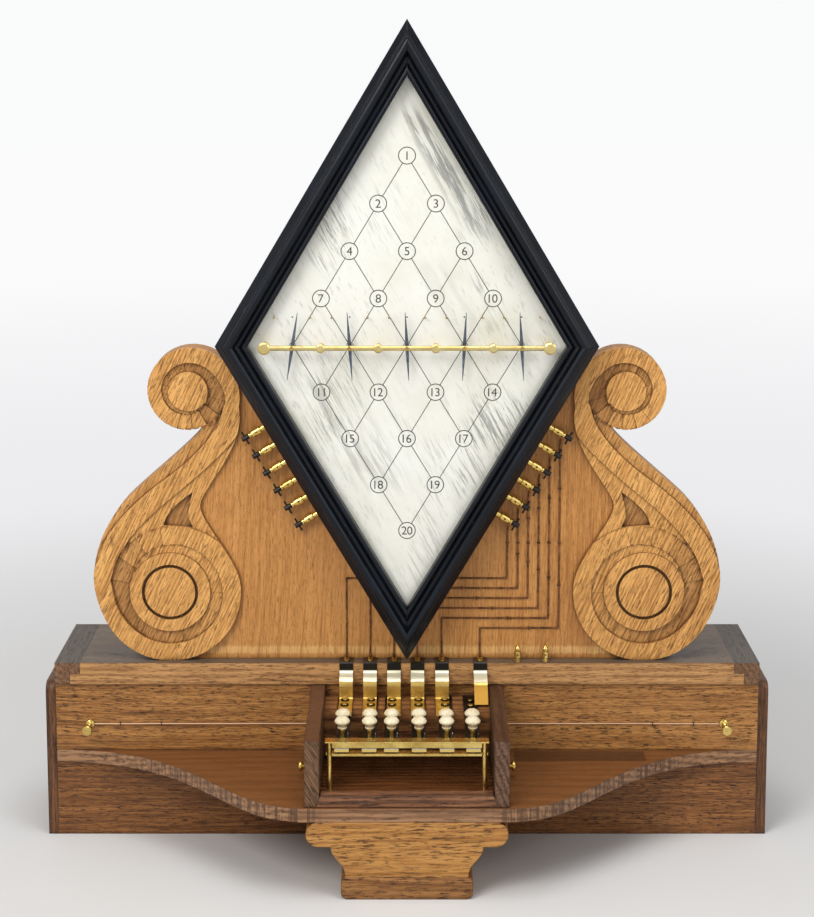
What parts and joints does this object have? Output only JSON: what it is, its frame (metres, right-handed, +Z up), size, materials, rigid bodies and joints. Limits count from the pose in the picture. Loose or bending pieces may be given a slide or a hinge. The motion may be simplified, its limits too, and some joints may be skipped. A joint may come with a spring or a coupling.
{
  "type": "needle telegraph",
  "caption": "Early electric telegraph: an oak desk with scroll brackets, an ebonised diamond dial with pivoted needles, and ivory push buttons on sprung keys.",
  "frame": {"origin": "middle of the bounding box at the table, under the desk", "axes": "+Z up, -Y towards the user, +X to the user's right"},
  "size_m": [0.72, 0.266, 0.8125],
  "materials": {
    "dark_oak": "old waxed oak, dark",
    "oak": "golden waxed oak",
    "ebonised": "ebonised, polished",
    "silvered": "silvered, worn and scratched",
    "blued_steel": "blued",
    "spring_steel": "blackened",
    "ivory": "polished ivory",
    "winding": "silk-covered wire",
    "copper_wire": "dark varnished wire",
    "brass": "polished, slightly worn"
  },
  "bodies": {
    "desk": {"end_plate_left": "dark_oak", "end_plate_right": "dark_oak", "front_board_upper": "dark_oak", "front_board_lower": "dark_oak", "back_board": "dark_oak", "bottom_board": "dark_oak", "lid_board": "dark_oak", "lid_cleats": "dark_oak", "shelf": "dark_oak", "bracket": "oak", "foot_block": "oak", "cheek_left": "dark_oak", "cheek_right": "dark_oak", "key_floor": "dark_oak", "front_rail": "oak", "key_block": "dark_oak", "upright_panel": "oak", "scroll_left": "oak", "scroll_right": "oak", "frame_top_left": "ebonised", "frame_top_right": "ebonised", "frame_bottom_left": "ebonised", "frame_bottom_right": "ebonised", "case": "dark_oak", "dial_board": "oak", "dial_plate": "silvered", "needle_bar": "brass", "dial_pins": "brass", "coils": "winding", "coil_bar": "brass", "key_roots": "spring_steel", "contact_bars": "brass", "connecting_strips": "brass", "screws": "brass", "brass_posts": "brass", "wires": "copper_wire", "staples": "copper_wire"},
    "needle_1": {"needle_1": "blued_steel"},
    "needle_2": {"needle_2": "blued_steel"},
    "needle_3": {"needle_3": "blued_steel"},
    "needle_4": {"needle_4": "blued_steel"},
    "needle_5": {"needle_5": "blued_steel"},
    "key_1": {"key_1": "spring_steel"},
    "key_2": {"key_2": "spring_steel"},
    "key_3": {"key_3": "spring_steel"},
    "key_4": {"key_4": "spring_steel"},
    "key_5": {"key_5": "spring_steel"},
    "key_6": {"key_6": "spring_steel"},
    "button_front_1": {"button_front_1": "ivory"},
    "button_front_2": {"button_front_2": "ivory"},
    "button_front_3": {"button_front_3": "ivory"},
    "button_front_4": {"button_front_4": "ivory"},
    "button_front_5": {"button_front_5": "ivory"},
    "button_front_6": {"button_front_6": "ivory"},
    "button_rear_1": {"button_rear_1": "ivory"},
    "button_rear_2": {"button_rear_2": "ivory"},
    "button_rear_3": {"button_rear_3": "ivory"},
    "button_rear_4": {"button_rear_4": "ivory"},
    "button_rear_5": {"button_rear_5": "ivory"},
    "button_rear_6": {"button_rear_6": "ivory"}
  },
  "joints": [
    {"name": "needle_1_turn", "type": "hinge", "parent": "desk", "child": "needle_1", "pos_m": [-0.1106, -0.0044, 0.4995], "axis": [0, 1, 0], "range_deg": [-39, 21]},
    {"name": "needle_2_turn", "type": "hinge", "parent": "desk", "child": "needle_2", "pos_m": [-0.0553, -0.0044, 0.4995], "axis": [0, 1, 0], "range_deg": [-26, 34]},
    {"name": "needle_3_turn", "type": "hinge", "parent": "desk", "child": "needle_3", "pos_m": [0, -0.0044, 0.4995], "axis": [0, 1, 0], "range_deg": [-27, 33]},
    {"name": "needle_4_turn", "type": "hinge", "parent": "desk", "child": "needle_4", "pos_m": [0.0553, -0.0044, 0.4995], "axis": [0, 1, 0], "range_deg": [-33, 27]},
    {"name": "needle_5_turn", "type": "hinge", "parent": "desk", "child": "needle_5", "pos_m": [0.1106, -0.0044, 0.4995], "axis": [0, 1, 0], "range_deg": [-26.5, 33.5]},
    {"name": "key_1_press", "type": "hinge", "parent": "desk", "child": "key_1", "pos_m": [-0.061, -0.0333, 0.1462], "axis": [1, 0, 0], "range_deg": [0, 1.2], "stiffness_Nm_per_rad": 3, "springref_deg": -1.72},
    {"name": "key_2_press", "type": "hinge", "parent": "desk", "child": "key_2", "pos_m": [-0.0353, -0.0333, 0.1462], "axis": [1, 0, 0], "range_deg": [0, 1.2], "stiffness_Nm_per_rad": 3, "springref_deg": -1.72},
    {"name": "key_3_press", "type": "hinge", "parent": "desk", "child": "key_3", "pos_m": [-0.0146, -0.0333, 0.1462], "axis": [1, 0, 0], "range_deg": [0, 1.2], "stiffness_Nm_per_rad": 3, "springref_deg": -1.72},
    {"name": "key_4_press", "type": "hinge", "parent": "desk", "child": "key_4", "pos_m": [0.0113, -0.0333, 0.1462], "axis": [1, 0, 0], "range_deg": [0, 1.2], "stiffness_Nm_per_rad": 3, "springref_deg": -1.72},
    {"name": "key_5_press", "type": "hinge", "parent": "desk", "child": "key_5", "pos_m": [0.0373, -0.0333, 0.1462], "axis": [1, 0, 0], "range_deg": [0, 1.2], "stiffness_Nm_per_rad": 3, "springref_deg": -1.72},
    {"name": "key_6_press", "type": "hinge", "parent": "desk", "child": "key_6", "pos_m": [0.062, -0.0333, 0.1462], "axis": [1, 0, 0], "range_deg": [0, 1.2], "stiffness_Nm_per_rad": 3, "springref_deg": -1.72},
    {"name": "button_front_1_push", "type": "slide", "parent": "key_1", "child": "button_front_1", "axis": [0, 0, -1], "range_m": [0, 0.004], "stiffness_N_per_m": 150, "springref_m": -0.002},
    {"name": "button_front_2_push", "type": "slide", "parent": "key_2", "child": "button_front_2", "axis": [0, 0, -1], "range_m": [0, 0.004], "stiffness_N_per_m": 150, "springref_m": -0.002},
    {"name": "button_front_3_push", "type": "slide", "parent": "key_3", "child": "button_front_3", "axis": [0, 0, -1], "range_m": [0, 0.004], "stiffness_N_per_m": 150, "springref_m": -0.002},
    {"name": "button_front_4_push", "type": "slide", "parent": "key_4", "child": "button_front_4", "axis": [0, 0, -1], "range_m": [0, 0.004], "stiffness_N_per_m": 150, "springref_m": -0.002},
    {"name": "button_front_5_push", "type": "slide", "parent": "key_5", "child": "button_front_5", "axis": [0, 0, -1], "range_m": [0, 0.004], "stiffness_N_per_m": 150, "springref_m": -0.002},
    {"name": "button_front_6_push", "type": "slide", "parent": "key_6", "child": "button_front_6", "axis": [0, 0, -1], "range_m": [0, 0.004], "stiffness_N_per_m": 150, "springref_m": -0.002},
    {"name": "button_rear_1_push", "type": "slide", "parent": "key_1", "child": "button_rear_1", "axis": [0, 0, -1], "range_m": [0, 0.004], "stiffness_N_per_m": 150, "springref_m": -0.002},
    {"name": "button_rear_2_push", "type": "slide", "parent": "key_2", "child": "button_rear_2", "axis": [0, 0, -1], "range_m": [0, 0.004], "stiffness_N_per_m": 150, "springref_m": -0.002},
    {"name": "button_rear_3_push", "type": "slide", "parent": "key_3", "child": "button_rear_3", "axis": [0, 0, -1], "range_m": [0, 0.004], "stiffness_N_per_m": 150, "springref_m": -0.002},
    {"name": "button_rear_4_push", "type": "slide", "parent": "key_4", "child": "button_rear_4", "axis": [0, 0, -1], "range_m": [0, 0.004], "stiffness_N_per_m": 150, "springref_m": -0.002},
    {"name": "button_rear_5_push", "type": "slide", "parent": "key_5", "child": "button_rear_5", "axis": [0, 0, -1], "range_m": [0, 0.004], "stiffness_N_per_m": 150, "springref_m": -0.002},
    {"name": "button_rear_6_push", "type": "slide", "parent": "key_6", "child": "button_rear_6", "axis": [0, 0, -1], "range_m": [0, 0.004], "stiffness_N_per_m": 150, "springref_m": -0.002}
  ]
}
